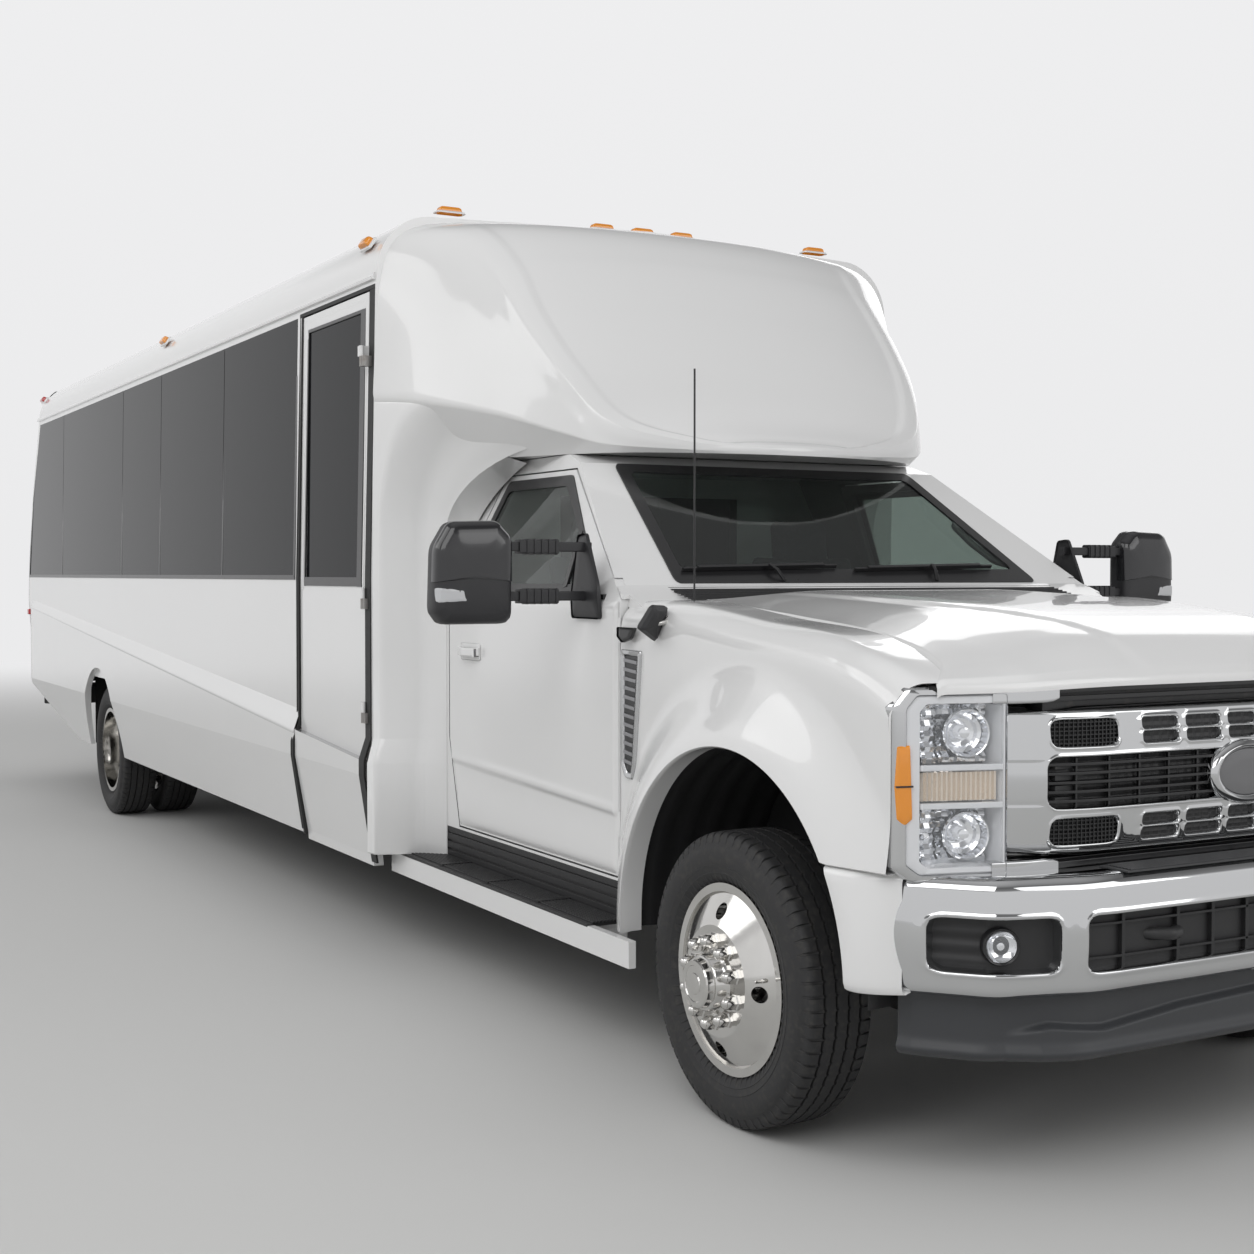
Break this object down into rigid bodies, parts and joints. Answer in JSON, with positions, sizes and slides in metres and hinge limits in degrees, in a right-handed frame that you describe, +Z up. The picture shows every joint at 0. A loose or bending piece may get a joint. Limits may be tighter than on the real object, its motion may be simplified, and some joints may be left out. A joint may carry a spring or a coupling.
{
  "type": "minibus",
  "caption": "Long shuttle minibus: hollow coach body with an over-cab nose on a pickup-type cab, with turning and steering wheels and opening doors and bonnet.",
  "frame": {"origin": "on the ground under the middle of the overall length and width", "axes": "+X the way it drives, +Y its left side, +Z up"},
  "size_m": [10.72, 3.09, 2.958],
  "materials": {
    "white_paint": "gloss",
    "moulded_white": "gloss",
    "black_plastic": "satin",
    "grey_plastic": "satin",
    "chrome": "polished",
    "chassis_steel": "satin",
    "cast_parts": "satin",
    "tyre_rubber": "matte",
    "rubber": "matte",
    "tinted_glass": "gloss",
    "clear_glass": "gloss",
    "lamp_clear": "gloss",
    "lamp_amber": "gloss",
    "lamp_red": "gloss",
    "seat_fabric": "matte",
    "floor_vinyl": "matte",
    "rolled_steel": "satin"
  },
  "bodies": {
    "chassis": {"air_dam": "grey_plastic", "antenna": "rolled_steel", "bumper_ends": "moulded_white", "cab_seats": "seat_fabric", "cab_shell": "white_paint", "cab_steps": "moulded_white", "dashboard": "grey_plastic", "drive_shaft": "cast_parts", "entry_pivot": "rolled_steel", "entry_steps": "grey_plastic", "exhaust": "rolled_steel", "floor": "floor_vinyl", "frame": "chassis_steel", "front_axle": "chassis_steel", "front_bumper": "chrome", "front_cap": "moulded_white", "front_support": "black_plastic", "front_wall": "moulded_white", "front_wings": "white_paint", "fuel_tank": "black_plastic", "grille": "chrome", "headlamps": "lamp_clear", "marker_lamps": "lamp_amber", "mud_flaps": "rubber", "passenger_seats": "seat_fabric", "powertrain": "cast_parts", "radiator": "rolled_steel", "rear_axle": "chassis_steel", "rear_bumper": "black_plastic", "rear_glass": "tinted_glass", "rear_wall": "moulded_white", "roof": "moulded_white", "side_glass": "tinted_glass", "side_wall_left": "white_paint", "side_wall_right": "white_paint", "skirts": "white_paint", "tail_lamps": "lamp_red", "windscreen": "clear_glass"},
    "knuckle_left": {"knuckle_left": "cast_parts"},
    "knuckle_right": {"knuckle_right": "cast_parts"},
    "wheel_front_left": {"front_wheel_left": "chrome", "front_tyre_left": "tyre_rubber"},
    "wheel_front_right": {"front_wheel_right": "chrome", "front_tyre_right": "tyre_rubber"},
    "wheels_rear_left": {"rear_wheels_left": "chrome", "rear_tyres_left": "tyre_rubber"},
    "wheels_rear_right": {"rear_wheels_right": "chrome", "rear_tyres_right": "tyre_rubber"},
    "cab_door_left": {"cab_door_left": "white_paint", "cab_door_glass_left": "clear_glass", "mirror_left": "black_plastic"},
    "cab_door_right": {"cab_door_right": "white_paint", "cab_door_glass_right": "clear_glass", "mirror_right": "black_plastic"},
    "entry_door": {"entry_door": "white_paint", "entry_glass": "tinted_glass"},
    "hood": {"hood": "white_paint"}
  },
  "joints": [
    {"name": "steer_left", "type": "hinge", "parent": "chassis", "child": "knuckle_left", "pos_m": [4.38, 0.8, 0.405], "axis": [0, 0, 1], "range_deg": [-32, 32]},
    {"name": "steer_right", "type": "hinge", "parent": "chassis", "child": "knuckle_right", "pos_m": [4.38, -0.8, 0.405], "axis": [0, 0, 1], "range_deg": [-32, 32]},
    {"name": "front_wheel_left_spin", "type": "hinge", "parent": "knuckle_left", "child": "wheel_front_left", "pos_m": [4.38, 0.95, 0.405], "axis": [0, 1, 0], "continuous": true},
    {"name": "front_wheel_right_spin", "type": "hinge", "parent": "knuckle_right", "child": "wheel_front_right", "pos_m": [4.38, -0.95, 0.405], "axis": [0, 1, 0], "continuous": true},
    {"name": "rear_wheels_left_spin", "type": "hinge", "parent": "chassis", "child": "wheels_rear_left", "pos_m": [-2.71, 0.94, 0.405], "axis": [0, 1, 0], "continuous": true},
    {"name": "rear_wheels_right_spin", "type": "hinge", "parent": "chassis", "child": "wheels_rear_right", "pos_m": [-2.71, -0.94, 0.405], "axis": [0, 1, 0], "continuous": true},
    {"name": "cab_door_left_hinge", "type": "hinge", "parent": "chassis", "child": "cab_door_left", "pos_m": [3.685, 1, 0.9], "axis": [0, 0, -1], "range_deg": [0, 65]},
    {"name": "cab_door_right_hinge", "type": "hinge", "parent": "chassis", "child": "cab_door_right", "pos_m": [3.685, -1, 0.9], "axis": [0, 0, 1], "range_deg": [0, 65]},
    {"name": "entry_door_hinge", "type": "hinge", "parent": "chassis", "child": "entry_door", "pos_m": [2.06, -1.24, 1.4], "axis": [0, 0, 1], "range_deg": [0, 88]},
    {"name": "hood_hinge", "type": "hinge", "parent": "chassis", "child": "hood", "pos_m": [3.855, 0, 1.42], "axis": [0, -1, 0], "range_deg": [0, 48]}
  ],
  "couplings": [
    {"joint": "steer_right", "follows": "steer_left", "ratio": 1}
  ]
}
